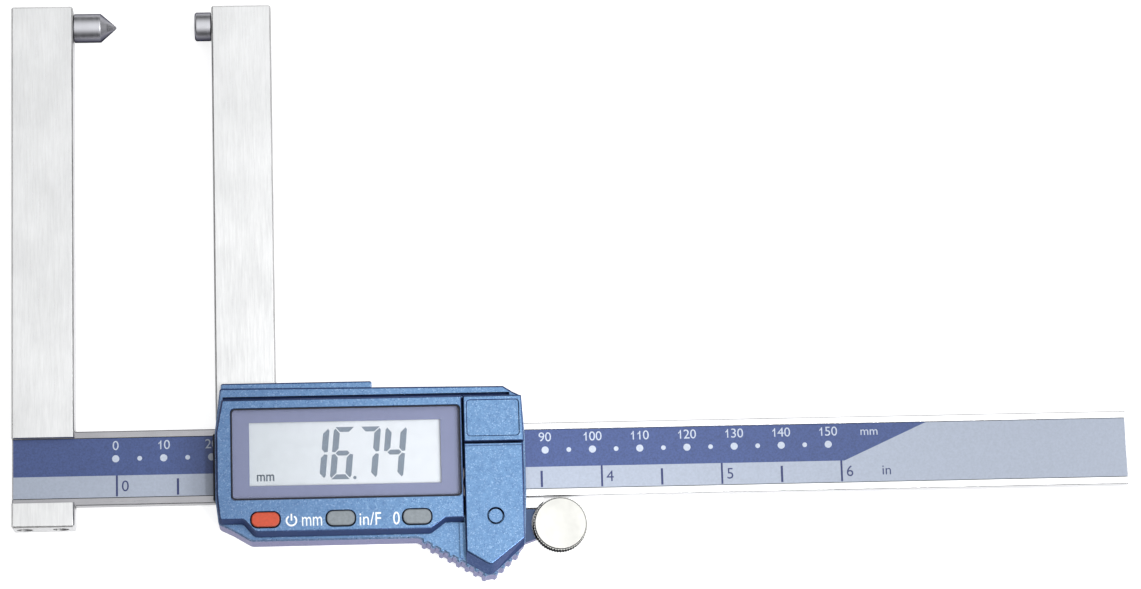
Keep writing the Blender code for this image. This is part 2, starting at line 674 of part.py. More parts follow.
def make_buttons():
    mat = plate("key_mat", rectangle(8.6, -14.5, 43.8, -11.6, 0.5), 6.9, 8.0, BLACK, SLIDER)
    for name, x in BUTTON_X.items():
        dome = cylinder(name + "_dome", (x, BUTTON_Y), 1.2, 7.5, 8.4, parent=SLIDER, sides=20, cutter=True)
        join(mat, dome)
        half_x = BUTTON_LENGTH / 2
        half_y = BUTTON_HEIGHT / 2
        shape = rectangle(-half_x, -half_y, half_x, half_y, 1.4)
        low = 9.2 - BUTTON_TOP
        look = RED if name == "power_button" else GREY
        cap = plate(name, shape, low, 0, look, SLIDER, rim=0.35, location=(x, BUTTON_Y, BUTTON_TOP))
        ears = box(name + "_ears", (-3.3, -1.1, low), (3.3, 1.1, low + 2.2), parent=SLIDER, cutter=True)
        ears.location = cap.location
        join(cap, ears)


def make_roller():
    face = ROLLER_RADIUS - 0.25
    body = [(0, 0), (face - 0.15, 0), (face, -0.15), (face, ROLLER_BACK - ROLLER_FRONT + 0.3)]
    body += [(face - 0.3, ROLLER_BACK - ROLLER_FRONT), (0, ROLLER_BACK - ROLLER_FRONT)]
    centre = (ROLLER_X, ROLLER_Y, ROLLER_FRONT)
    roller = turned("thumb_roller", body, STEEL, SLIDER, sides=60, location=centre)
    count = 60
    crest = []
    for i in range(2 * count):
        radius = ROLLER_RADIUS if i % 2 == 0 else ROLLER_RADIUS - 0.2
        angle = math.pi * i / count
        crest.append((radius * math.cos(angle), radius * math.sin(angle)))
    band = plate("roller_knurl", crest, -4.0, -0.4, parent=SLIDER, cutter=True, location=centre)
    join(roller, band)
    cut_hole(roller, "roller_bore", (ROLLER_X, ROLLER_Y), 1.5 + GAP, 0, 4.2, SLIDER)


def main():
    make_beam()
    make_fixed_arm()
    make_anvils()
    make_frame()
    make_moving_arm()
    make_guides()
    make_lower_case()
    make_front_cover()
    make_window()
    make_right_covers()
    make_electronics()
    make_buttons()
    make_roller()


main()
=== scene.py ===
"""Looks for the long-arm digital caliper: rounded pieces, materials, printed scale and display."""

import json
import math

import bmesh
import bpy
from mathutils import Matrix, Vector


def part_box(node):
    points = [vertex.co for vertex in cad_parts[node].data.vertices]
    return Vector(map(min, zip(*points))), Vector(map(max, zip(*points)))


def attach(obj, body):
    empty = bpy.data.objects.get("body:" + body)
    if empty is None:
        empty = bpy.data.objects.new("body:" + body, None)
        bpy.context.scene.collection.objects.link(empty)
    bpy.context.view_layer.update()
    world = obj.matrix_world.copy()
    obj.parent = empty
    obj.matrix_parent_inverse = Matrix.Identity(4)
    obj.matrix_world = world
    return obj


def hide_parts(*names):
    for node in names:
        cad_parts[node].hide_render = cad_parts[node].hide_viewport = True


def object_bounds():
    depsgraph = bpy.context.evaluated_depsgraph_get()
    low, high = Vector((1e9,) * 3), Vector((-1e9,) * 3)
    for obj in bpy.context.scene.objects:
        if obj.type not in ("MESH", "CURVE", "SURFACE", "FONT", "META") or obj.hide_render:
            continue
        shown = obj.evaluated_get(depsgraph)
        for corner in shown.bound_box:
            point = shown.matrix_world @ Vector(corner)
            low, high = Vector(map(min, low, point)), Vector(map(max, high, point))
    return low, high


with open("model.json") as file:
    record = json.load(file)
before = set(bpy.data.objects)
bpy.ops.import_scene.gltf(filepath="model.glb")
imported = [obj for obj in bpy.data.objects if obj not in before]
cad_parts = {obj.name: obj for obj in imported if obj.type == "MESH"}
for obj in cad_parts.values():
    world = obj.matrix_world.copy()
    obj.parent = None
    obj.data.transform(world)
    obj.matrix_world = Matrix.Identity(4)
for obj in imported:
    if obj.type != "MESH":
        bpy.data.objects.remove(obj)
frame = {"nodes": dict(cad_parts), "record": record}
CAD_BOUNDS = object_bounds()
MM = 0.001
RECORD_SLOTS = {part["node"]: part["material_slot"] for part in frame["record"]["subparts"]}
NODE_BODY = {
    node: body for body, nodes in frame["record"]["behaviour"]["bodies"].items() for node in nodes
}

# Places, from the frame
LABEL_LOW, LABEL_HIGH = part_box("scale_label")
ZERO_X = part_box("fixed_arm")[1].x + 8.5 * MM
SLIDER_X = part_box("moving_arm")[0].x
COVER_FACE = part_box("front_cover")[1].z
LCD_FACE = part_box("lcd_panel")[1].z


# Materials

FULL = (1.0, 1.0, 1.0)


def new_material(name, colour, roughness, metallic=0.0, **sockets):
    """A Principled material with constant values on its own sockets."""
    material = bpy.data.materials.new(name)
    material.use_nodes = True
    shader = material.node_tree.nodes["Principled BSDF"]
    shader.inputs["Base Color"].default_value = (*colour, 1.0)
    shader.inputs["Roughness"].default_value = roughness
    shader.inputs["Metallic"].default_value = metallic
    for socket, value in sockets.items():
        shader.inputs[socket.replace("_", " ")].default_value = value
    return material


def place(material, scale):
    """Object coordinates stretched by scale, per metre."""
    tree = material.node_tree
    coordinates = tree.nodes.new("ShaderNodeTexCoord")
    mapping = tree.nodes.new("ShaderNodeMapping")
    mapping.inputs["Scale"].default_value = scale
    tree.links.new(coordinates.outputs["Object"], mapping.inputs["Vector"])
    return mapping.outputs["Vector"]


def noise(material, scale, detail=3.0, rough=0.6):
    """Cloudy noise, stretched by scale."""
    node = material.node_tree.nodes.new("ShaderNodeTexNoise")
    node.inputs["Scale"].default_value = 1.0
    node.inputs["Detail"].default_value = detail
    node.inputs["Roughness"].default_value = rough
    material.node_tree.links.new(place(material, scale), node.inputs["Vector"])
    return node.outputs["Fac"]


def cells(material, scale):
    """Small random cells, one value each, such as metal flakes."""
    node = material.node_tree.nodes.new("ShaderNodeTexVoronoi")
    node.inputs["Scale"].default_value = 1.0
    material.node_tree.links.new(place(material, (scale, scale, scale)), node.inputs["Vector"])
    split = material.node_tree.nodes.new("ShaderNodeSeparateColor")
    material.node_tree.links.new(node.outputs["Color"], split.inputs["Color"])
    return split.outputs["Red"]


def ramp(material, source, stops):
    """Colours by value: stops are (position, colour)."""
    node = material.node_tree.nodes.new("ShaderNodeValToRGB")
    elements = node.color_ramp.elements
    while len(elements) < len(stops):
        elements.new(0.5)
    for element, (position, colour) in zip(elements, stops):
        element.position = position
        element.color = (*colour, 1.0)
    material.node_tree.links.new(source, node.inputs["Fac"])
    return node.outputs["Color"]


def spread(material, source, low, high, start=0.3, end=0.7):
    """Maps a value from start..end to low..high."""
    node = material.node_tree.nodes.new("ShaderNodeMapRange")
    for socket, value in zip(("From Min", "From Max", "To Min", "To Max"), (start, end, low, high)):
        node.inputs[socket].default_value = value
    material.node_tree.links.new(source, node.inputs["Value"])
    return node.outputs["Result"]


def multiplied(material, first, second):
    """One colour times another."""
    node = material.node_tree.nodes.new("ShaderNodeMix")
    node.data_type = "RGBA"
    node.blend_type = "MULTIPLY"
    node.inputs["Factor"].default_value = 1.0
    material.node_tree.links.new(first, node.inputs[6])
    material.node_tree.links.new(second, node.inputs[7])
    return node.outputs[2]


def drive(material, socket, source):
    """Feeds a socket of the material's shader."""
    shader = material.node_tree.nodes["Principled BSDF"]
    material.node_tree.links.new(source, shader.inputs[socket])


def bump(material, source, height, strength):
    """Small relief, height in metres."""
    node = material.node_tree.nodes.new("ShaderNodeBump")
    node.inputs["Strength"].default_value = strength
    node.inputs["Distance"].default_value = height
    material.node_tree.links.new(source, node.inputs["Height"])
    drive(material, "Normal", node.outputs["Normal"])


def shade(colour, factor):
    """A lighter or darker tone of a colour."""
    return tuple(min(1.0, channel * factor) for channel in colour)


STAIN_GRAIN = (130, 70, 130)


def brushed_steel(name, colour, grain, roughness, contrast, height=0.00002, **sockets):
    """Ground steel: fine scratches along one axis, with broad faint stains."""
    material = new_material(name, colour, roughness, 1.0, **sockets)
    fine = noise(material, grain, 4.0, 0.7)
    stain = noise(material, STAIN_GRAIN, 4.0)
    dark = shade(colour, 1 - contrast)
    light = shade(colour, 1 + contrast / 3)
    tones = ramp(material, fine, [(0.3, dark), (0.7, light)])
    stains = ramp(material, stain, [(0.35, (0.9, 0.9, 0.9)), (0.65, FULL)])
    drive(material, "Base Color", multiplied(material, tones, stains))
    drive(material, "Roughness", spread(material, fine, roughness - 0.08, roughness + 0.12))
    bump(material, fine, height, 0.25)
    return material


def turned_steel(name, colour, axis_scale, roughness, contrast, height=0.00002):
    """Lathe-turned steel: fine rings, varied along the turning axis only, dark when seen edge-on."""
    edge = (0.15, 0.15, 0.17, 1.0)
    return brushed_steel(name, colour, axis_scale, roughness, contrast, height, Specular_Tint=edge)


def painted_shade_by_tilt(material, axis, stops, normal="True Normal"):
    """Painted shade and highlight: tones the base colour by one part of the face's normal, as light
    falls on faces turned that way: stops are (part, colour).
    """
    source = material.node_tree.nodes["Principled BSDF"].inputs["Base Color"].links[0].from_socket
    geometry = material.node_tree.nodes.new("ShaderNodeNewGeometry")
    split = material.node_tree.nodes.new("ShaderNodeSeparateXYZ")
    material.node_tree.links.new(geometry.outputs[normal], split.inputs["Vector"])
    tones = ramp(material, split.outputs[axis], stops)
    drive(material, "Base Color", multiplied(material, source, tones))
    return material


def painted_shade_along_x(material, start, end, tone):
    """Painted shade along X, darker towards -X as the light falls: by tone up to start, and no more
    from end on, in metres.
    """
    source = material.node_tree.nodes["Principled BSDF"].inputs["Base Color"].links[0].from_socket
    split = material.node_tree.nodes.new("ShaderNodeSeparateXYZ")
    material.node_tree.links.new(place(material, (1.0, 1.0, 1.0)), split.inputs["Vector"])
    reach = spread(material, split.outputs["X"], 0.0, 1.0, start, end)
    tones = ramp(material, reach, [(0.0, tone), (1.0, FULL)])
    drive(material, "Base Color", multiplied(material, source, tones))
    return material


def flake_blue(name):
    """Blue housing plastic with metal flakes and a satin skin."""
    deep = (0.125, 0.238, 0.420)
    body = (0.158, 0.290, 0.490)
    flake = (0.300, 0.450, 0.650)
    edge = (0.60, 0.54, 0.70, 1.0)
    material = new_material(
        name, body, 0.32, 0.85, Coat_Weight=0.1, Coat_Roughness=0.3, Specular_Tint=edge
    )
    flakes = cells(material, 5000)
    cloud = noise(material, (900, 900, 900), 2.0)
    grains = ramp(material, flakes, [(0.0, deep), (0.35, body), (0.8, body), (1.0, flake)])
    clouds = ramp(material, cloud, [(0.35, (0.86, 0.87, 0.9)), (0.65, FULL)])
    drive(material, "Base Color", multiplied(material, grains, clouds))
    drive(material, "Roughness", spread(material, flakes, 0.27, 0.4, 0.0, 1.0))
    bump(material, flakes, 0.000004, 0.15)
    return material


def grained(
    name, colour, roughness, scale=1500, contrast=0.12, height=0.00001, metallic=0.0, **sockets
):
    """A fine-grained moulded or printed surface."""
    material = new_material(name, colour, roughness, metallic, **sockets)
    grain = noise(material, (scale, scale, scale), 3.0)
    dark = shade(colour, 1 - contrast)
    light = shade(colour, 1 + contrast)
    tones = ramp(material, grain, [(0.3, dark), (0.7, light)])
    drive(material, "Base Color", tones)
    drive(material, "Roughness", spread(material, grain, roughness - 0.05, roughness + 0.08))
    bump(material, grain, height, 0.3)
    return material


# Grain of the ground steel, per metre along x, y and z
ARM_GRAIN = (2300, 150, 900)
BEAM_GRAIN = (55, 2600, 900)
PIN_GRAIN = (1100, 30, 30)
ROLLER_GRAIN = (60, 60, 900)

# Painted shade and highlight by one part of the face's normal: sides, slants and edges darker, the
# case's ledges lighter
STEEL_PAINTED_SHADE = [(0.0, (0.66, 0.66, 0.68)), (0.5, (0.75, 0.75, 0.76)), (0.97, FULL)]
PIN_PAINTED_SHADE = [(0.0, (0.10, 0.10, 0.12)), (0.4, (0.24, 0.24, 0.28)), (0.95, FULL)]
BUTTON_PAINTED_SHADE = [(0.0, (0.10, 0.10, 0.12)), (0.8, (0.16, 0.16, 0.18)), (0.96, FULL)]
ROLLER_PAINTED_SHADE = [(0.0, (0.10, 0.10, 0.11)), (0.86, (0.15, 0.15, 0.16)), (0.97, FULL)]
CASE_SIDE_SHADE = (0.52, 0.43, 0.54)
# Painted highlight: above 1, lightens the case's slanted ledges
CASE_LEDGE_HIGHLIGHT = (1.9, 1.6, 1.5)
CASE_PAINTED_SHADE = [
    (0.0, CASE_SIDE_SHADE),
    (0.25, CASE_SIDE_SHADE),
    (0.5, CASE_LEDGE_HIGHLIGHT),
    (0.9, CASE_LEDGE_HIGHLIGHT),
    (0.97, FULL),
]
COVER_PAINTED_SHADE = [(0.0, (0.28, 0.26, 0.34)), (0.93, (0.30, 0.30, 0.42)), (0.985, FULL)]
# Painted shade on faces turned towards +Y
BACK_PAINTED_SHADE = [(0.06, FULL), (0.25, (0.3, 0.3, 0.42))]

# Painted shade along X: the beam, the housing and the display darker towards -X
BEAM_PAINTED_SHADE = (0.44, 0.435, 0.45)
BEAM_SHADE_END, BEAM_BRIGHT_START = 0.045, 0.09
HOUSING_MIDDLE = SLIDER_X + 42.0 * MM
HOUSING_SHADE = (0.77, 0.75, 0.79)
LCD_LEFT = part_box("lcd_panel")[0].x
LCD_MIDDLE = LCD_LEFT + 22.0 * MM
LCD_SHADE = (0.84, 0.86, 0.86)

MATERIALS = {
    "arm_steel": painted_shade_by_tilt(
        brushed_steel("arm_steel", (0.86, 0.86, 0.85), ARM_GRAIN, 0.34, 0.14), "Z", STEEL_PAINTED_SHADE
    ),
    "beam_steel": painted_shade_by_tilt(
        painted_shade_along_x(
            brushed_steel("beam_steel", (0.95, 0.95, 0.95), BEAM_GRAIN, 0.28, 0.10),
            BEAM_SHADE_END,
            BEAM_BRIGHT_START,
            BEAM_PAINTED_SHADE,
        ),
        "Z",
        STEEL_PAINTED_SHADE,
    ),
    "pin_steel": painted_shade_by_tilt(
        turned_steel("pin_steel", (0.70, 0.70, 0.73), PIN_GRAIN, 0.34, 0.10, 0.000004),
        "Z",
        PIN_PAINTED_SHADE,
        "Normal",
    ),
    "roller_steel": painted_shade_by_tilt(
        turned_steel("roller_steel", (0.72, 0.715, 0.675), ROLLER_GRAIN, 0.5, 0.25), "Z", ROLLER_PAINTED_SHADE
    ),
    "dark_steel": grained("dark_steel", (0.10, 0.10, 0.11), 0.4, metallic=1.0),
    "bronze": grained("bronze", (0.62, 0.38, 0.18), 0.35, metallic=1.0),
    "housing_plastic": painted_shade_by_tilt(
        painted_shade_by_tilt(
            painted_shade_along_x(flake_blue("housing_plastic"), SLIDER_X, HOUSING_MIDDLE, HOUSING_SHADE),
            "Z",
            CASE_PAINTED_SHADE,
        ),
        "Y",
        BACK_PAINTED_SHADE,
    ),
    "label_print": grained("label_film", (0.42, 0.45, 0.52), 0.45, 2200, 0.06),
    "circuit_laminate": grained("circuit_laminate", (0.03, 0.16, 0.07), 0.45),
    "window_plastic": new_material("window_plastic", (0.30, 0.33, 0.40), 0.05, Alpha=0.08, IOR=1.49),
    "window_border": grained("window_border", (0.212, 0.236, 0.390), 0.5, 1200, 0.06),
    "display_glass": painted_shade_along_x(
        grained("display_glass", (0.83, 0.865, 0.895), 0.4, 500, 0.035),
        LCD_LEFT,
        LCD_MIDDLE,
        LCD_SHADE,
    ),
    "red_button": painted_shade_by_tilt(
        grained("red_button", (0.58, 0.070, 0.024), 0.5, 1600, 0.12, 0.00002), "Z", BUTTON_PAINTED_SHADE
    ),
    "grey_button": painted_shade_by_tilt(
        grained("grey_button", (0.223, 0.252, 0.273), 0.5, 1600, 0.12, 0.00002), "Z", BUTTON_PAINTED_SHADE
    ),
    "black_rubber": grained("black_rubber", (0.018, 0.02, 0.028), 0.6),
    "black_plastic": grained("black_plastic", (0.02, 0.02, 0.022), 0.5),
    "battery_steel": grained("battery_steel", (0.62, 0.62, 0.62), 0.3, metallic=1.0),
    "contact_brass": grained("contact_brass", (0.80, 0.58, 0.24), 0.3, metallic=1.0),
}
COVER_BLUE = painted_shade_by_tilt(
    painted_shade_along_x(flake_blue("cover_plastic"), SLIDER_X, HOUSING_MIDDLE, HOUSING_SHADE), "Z", COVER_PAINTED_SHADE
)
# Painted shadow: a black line for the shade in the gap round the window
SEAM_PAINTED_SHADOW = grained("painted_shadow_seam", (0.006, 0.007, 0.014), 0.7)
# Painted shade: dark blues for the case's groove, tab and slanted back edge and for the covers' side
# walls
RECESS_PAINTED_SHADE = grained(
    "painted_shade_recess", (0.024, 0.046, 0.135), 0.8, 1400, 0.12, Specular_IOR_Level=0.15
)
TAB_PAINTED_SHADE = grained("painted_shade_tab", (0.050, 0.082, 0.160), 0.6, 1400, 0.12, Specular_IOR_Level=0.3)
LABEL_BLUE = grained("label_blue", (0.055, 0.089, 0.242), 0.42, 2600, 0.22, 0.00001, metallic=0.1)
LABEL_SILVER = grained("label_silver", (0.395, 0.440, 0.530), 0.40, 2200, 0.07, 0.00001, metallic=0.15)
WHITE_INK = grained("white_ink", (0.88, 0.91, 0.95), 0.5, 2500, 0.05)
SCALE_INK = grained("scale_ink", (0.54, 0.60, 0.71), 0.5, 2500, 0.10)
NAVY_INK = grained("navy_ink", (0.028, 0.04, 0.145), 0.5, 2500, 0.15)
SEGMENT_GREY = grained("segment_grey", (0.200, 0.248, 0.304), 0.5, 900, 0.08)


# CAD pieces, with their edges rounded


def collect(obj, node, material):
    """Gives a piece its material, and the body of a CAD node."""
    obj.data.materials.clear()
    obj.data.materials.append(material)
    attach(obj, NODE_BODY[node])
    return obj


# How far faces turn, in degrees: within a flat face, at a rounded edge, at an edge that stays sharp
FLAT_ANGLE, ROUND_ANGLE, SHARP_ANGLE = 0.6, 28, 40
WELD = 0.002 * MM


def rounded(node, width, material):
    """Stands for a CAD node: the same solid with rounded edges and smooth shading."""
    mesh = frame["nodes"][node].data.copy()
    mesh.name = node + "_rounded"
    bm = bmesh.new()
    bm.from_mesh(mesh)
    bmesh.ops.remove_doubles(bm, verts=bm.verts, dist=WELD)
    flat_angle = math.radians(FLAT_ANGLE)
    bmesh.ops.dissolve_limit(bm, angle_limit=flat_angle, verts=bm.verts, edges=bm.edges)
    bm.to_mesh(mesh)
    bm.free()
    obj = bpy.data.objects.new(node + "_rounded", mesh)
    bpy.context.scene.collection.objects.link(obj)
    bevel = obj.modifiers.new("round", "BEVEL")
    bevel.width = width * MM
    bevel.segments = 2
    bevel.limit_method = "ANGLE"
    bevel.angle_limit = math.radians(ROUND_ANGLE)
    bevel.use_clamp_overlap = True
    flat = obj.modifiers.new("flat_faces", "WEIGHTED_NORMAL")
    flat.weight = 100
    flat.keep_sharp = True
    mesh.shade_smooth()
    mesh.set_sharp_from_angle(angle=math.radians(SHARP_ANGLE))
    collect(obj, node, material)
    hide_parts(node)
    return obj


# The case's groove behind the covers, and the top of its tab, where shade is painted: from x and y to
# x and y, then z
CASE_GROOVE = (1.0, 12.6, 62.2, 13.6, 7.0, 9.6)
CASE_TAB = (63.0, -18.0, 70.0, -10.6, 5.0, 5.4)


def paint_shade_on_faces(obj, shade_of):
    """Paints shade on faces with dark blue materials: the given function gives 1 for dark, 2 for the
    tab.
    """
    obj.data.materials.append(RECESS_PAINTED_SHADE)
    obj.data.materials.append(TAB_PAINTED_SHADE)
    for face in obj.data.polygons:
        face.material_index = shade_of(face)


def within(face, box):
    """Whether a face's middle is in a box given from the slider's left side."""
    x, y, z = face.center / MM
    x -= SLIDER_X / MM
    x0, y0, x1, y1, z0, z1 = box
    return x0 < x < x1 and y0 < y < y1 and z0 < z < z1


def case_shade_faces(face):
    """Painted shade on the case's tab, its groove and its slanted back edge."""
    if within(face, CASE_TAB):
        return 2
    return int(within(face, CASE_GROOVE) or (face.normal.y > 0.5 and face.normal.z > 0.1))


def cover_shade_faces(face):
    """Painted shade on a cover's side walls."""
    return int(abs(face.normal.z) < 0.3)


# Painted shade on some faces of these pieces
PAINTED_SHADE_FACES = {
    "lower_case": case_shade_faces,
    "front_cover": cover_shade_faces,
    "battery_cover": cover_shade_faces,
    "port_cover": cover_shade_faces,
}


# Edge widths, in mm
ROUNDED = {
    "fixed_arm": 0.12,
    "moving_arm": 0.12,
    "beam": 0.08,
    "slider_frame": 0.12,
    "lower_case": 0.12,
    "front_cover": 0.1,
    "battery_cover": 0.12,
    "port_cover": 0.12,
    "power_button": 0.1,
    "unit_button": 0.1,
    "zero_button": 0.1,
    "thumb_roller": 0.05,
    "pointed_anvil": 0.1,
    "flat_anvil": 0.1,
    "wiper_left": 0.1,
    "wiper_right": 0.1,
    "screw_plug": 0.1,
}


def dress_frame():
    """Rounds the visible pieces, and gives every piece its material."""
    for node, width in ROUNDED.items():
        on_top = node.endswith("_cover") or node == "screw_plug"
        piece = rounded(node, width, COVER_BLUE if on_top else MATERIALS[RECORD_SLOTS[node]])
        if node in PAINTED_SHADE_FACES:
            paint_shade_on_faces(piece, PAINTED_SHADE_FACES[node])
    for node, obj in frame["nodes"].items():
        if node not in ROUNDED:
            obj.data.materials.clear()
            obj.data.materials.append(MATERIALS[RECORD_SLOTS[node]])


# Printed marks: thin raised ink on the label, the cover and the display

INK_HALF = 0.004 * MM
INK_WELD = 0.0005 * MM
FIELD_HEIGHT = 0.006 * MM
DISPLAY_HEIGHT = 0.01 * MM
SCALE_HEIGHT = 0.014 * MM


def flat_shape(points, holes=()):
    """A thin filled outline, as a mesh at height 0."""
    curve = bpy.data.curves.new("shape", "CURVE")
    curve.dimensions = "2D"
    curve.fill_mode = "BOTH"
    curve.extrude = INK_HALF
    for ring in (points, *holes):
        spline = curve.splines.new("POLY")
        spline.points.add(len(ring) - 1)
        for target, (x, y) in zip(spline.points, ring):
            target.co = (x * MM, y * MM, 0.0, 1.0)
        spline.use_cyclic_u = True
    return as_mesh(curve)


def lettering(text, size, x, y, wide=1.0):
    """Plain lettering, its middle at x and its baseline at y."""
    curve = bpy.data.curves.new("text", "FONT")
    curve.body = text
    curve.size = size * MM
    curve.align_x = "CENTER"
    curve.extrude = INK_HALF
    curve.resolution_u = 4
    mesh = as_mesh(curve)
    mesh.transform(Matrix.Translation((x * MM, y * MM, 0)) @ Matrix.Diagonal((wide, 1, 1, 1)))
    return mesh


def as_mesh(curve):
    """The mesh of a curve or a text."""
    obj = bpy.data.objects.new("drawn", curve)
    bpy.context.scene.collection.objects.link(obj)
    depsgraph = bpy.context.evaluated_depsgraph_get()
    mesh = bpy.data.meshes.new_from_object(obj.evaluated_get(depsgraph))
    bpy.data.objects.remove(obj)
    return mesh


def print_marks(name, meshes, origin, height, node, material):
    """Joins thin shapes into one printed piece on a face at the given height."""
    bm = bmesh.new()
    for mesh in meshes:
        bm.from_mesh(mesh)
        bpy.data.meshes.remove(mesh)
    bmesh.ops.remove_doubles(bm, verts=bm.verts, dist=INK_WELD)
    bmesh.ops.translate(bm, vec=Vector((origin[0], origin[1], height)), verts=bm.verts)
    mesh = bpy.data.meshes.new(name)
    bm.to_mesh(mesh)
    bm.free()
    obj = bpy.data.objects.new(name, mesh)
    bpy.context.scene.collection.objects.link(obj)
    return collect(obj, node, material)


def disc(x, y, radius, steps=28):
    """The outline of a round mark."""
    turn = 2 * math.pi / steps
    return [(x + radius * math.cos(i * turn), y + radius * math.sin(i * turn)) for i in range(steps)]


def bar(x0, y0, x1, y1):
    """The outline of a straight mark."""
    return [(x0, y0), (x1, y0), (x1, y1), (x0, y1)]


# The scale, in mm from its zero: fields, metric marks and numbers, inch marks and numbers
INCH = 25.4
FIELD_SPLIT = -1.75
BLUE_FOOT, BLUE_HEAD = 153.3, 171.0
DOT_Y = 1.8
TEN_DOT, FIVE_DOT = 0.76, 0.5
NUMBER_Y = 3.65
NUMBER_SIZE, NUMBER_WIDE = 2.8, 1.02
DIGIT_PITCH, DIGIT_TALL = 1.38, 1.83
STROKE = 0.25
UNIT_X, UNIT_SIZE = 158.8, 2.55
INCH_SHIFT = 0.22
INCH_TICK, INCH_TICK_RISE = 0.21, 0.15
HALF_TICK, HALF_TICK_RISE, HALF_TICK_DROP = 0.24, 0.25, 0.85
INCH_NUMBER_SIZE, INCH_NUMBER_SHIFT, INCH_NUMBER_Y = 3.3, 1.75, -5.1
INCH_UNIT_SIZE, INCH_UNIT_X, INCH_UNIT_Y = 3.0, 162.2, -4.9


def one(centre):
    """The digit 1: an upright stroke with a short flag."""
    low, high = NUMBER_Y, NUMBER_Y + DIGIT_TALL
    right = centre + 0.22
    left = right - STROKE
    tip = right - 0.6
    stem = [(left, low), (right, low), (right, high), (right - STROKE * 0.8, high)]
    flag = [(left, high - 0.25), (tip, high - 0.55), (tip, high - 0.8), (left, high - 0.5)]
    return flat_shape(stem + flag)


def number(digits, x):
    """A metric scale number with evenly spaced digits, its middle at x."""
    shapes = []
    for place_from_left, digit in enumerate(digits):
        centre = x + (place_from_left - (len(digits) - 1) / 2) * DIGIT_PITCH
        if digit == "1":
            shapes.append(one(centre))
        else:
            shapes.append(lettering(digit, NUMBER_SIZE, centre, NUMBER_Y, NUMBER_WIDE))
    return shapes


def make_label():
    """The scale film: a blue metric field over a silver inch field."""
    left = (LABEL_LOW.x - ZERO_X) / MM
    right = (LABEL_HIGH.x - ZERO_X) / MM
    low = LABEL_LOW.y / MM
    high = LABEL_HIGH.y / MM
    foot = (BLUE_FOOT, FIELD_SPLIT)
    head = (BLUE_HEAD, high)
    blue = [(left, FIELD_SPLIT), foot, head, (left, high)]
    silver = [(left, low), (right, low), (right, high), head, foot, (left, FIELD_SPLIT)]
    print_on_label("label_blue_field", [flat_shape(blue)], FIELD_HEIGHT, LABEL_BLUE)
    print_on_label("label_silver_field", [flat_shape(silver)], FIELD_HEIGHT, LABEL_SILVER)
    print_on_label("metric_marks", metric_marks(), SCALE_HEIGHT, SCALE_INK)
    print_on_label("inch_marks", inch_marks(low), SCALE_HEIGHT, NAVY_INK)


def print_on_label(name, meshes, height, material):
    print_marks(name, meshes, (ZERO_X, 0), LABEL_HIGH.z + height, "scale_label", material)


def metric_marks():
    """A large dot and a number every 10 mm, a small dot between, and the unit."""
    marks = []
    for ten in range(16):
        marks.append(flat_shape(disc(ten * 10, DOT_Y, TEN_DOT)))
        marks += number(str(ten * 10), ten * 10)
        if ten < 15:
            marks.append(flat_shape(disc(ten * 10 + 5, DOT_Y, FIVE_DOT)))
    marks.append(lettering("mm", UNIT_SIZE, UNIT_X, NUMBER_Y))
    return marks


def inch_marks(low):
    """A full line and a number every inch, a shorter and thicker line between, and the unit."""
    marks = []
    for half in range(13):
        x = half * INCH / 2 + INCH_SHIFT
        if half % 2 == 0:
            line = bar(x - INCH_TICK, low + INCH_TICK_RISE, x + INCH_TICK, FIELD_SPLIT)
            marks.append(flat_shape(line))
            digit_x = x + INCH_NUMBER_SHIFT
            marks.append(lettering(str(half // 2), INCH_NUMBER_SIZE, digit_x, INCH_NUMBER_Y))
        else:
            top = FIELD_SPLIT - HALF_TICK_DROP
            marks.append(flat_shape(bar(x - HALF_TICK, low + HALF_TICK_RISE, x + HALF_TICK, top)))
    marks.append(lettering("in", INCH_UNIT_SIZE, INCH_UNIT_X, INCH_UNIT_Y))
    return marks


# The bars that are lit in each digit: a on top, then clockwise to f, with g in the middle
SEGMENTS = {"1": "bc", "6": "acdefg", "7": "abc", "4": "fgbc"}


def segment(letter, wide, tall, thick, gap):
    """One bar of a seven-segment digit, with slanted ends."""
    half = tall / 2
    mid = thick / 2
    under = tall - thick * 0.8
    rise = mid * 0.8
    point = thick * 0.35
    top = [(gap, tall), (wide - gap, tall), (wide - thick, under), (thick, under)]
    centre = [
        (point + gap, half),
        (thick, half + rise),
        (wide - thick, half + rise),
        (wide - point - gap, half),
        (wide - thick, half - rise),
        (thick, half - rise),
    ]
    upper_left = [
        (0, tall - gap - point),
        (0, half + gap),
        (thick * 0.5, half + gap * 0.6),
        (thick, half + mid + gap),
        (thick, under - gap),
        (gap, tall - gap),
    ]
    mirror_x = [(wide - x, y) for x, y in upper_left]
    shapes = {
        "a": top,
        "d": [(x, tall - y) for x, y in top],
        "g": centre,
        "f": upper_left,
        "b": mirror_x,
        "e": [(x, tall - y) for x, y in upper_left],
        "c": [(x, tall - y) for x, y in mirror_x],
    }
    return shapes[letter]


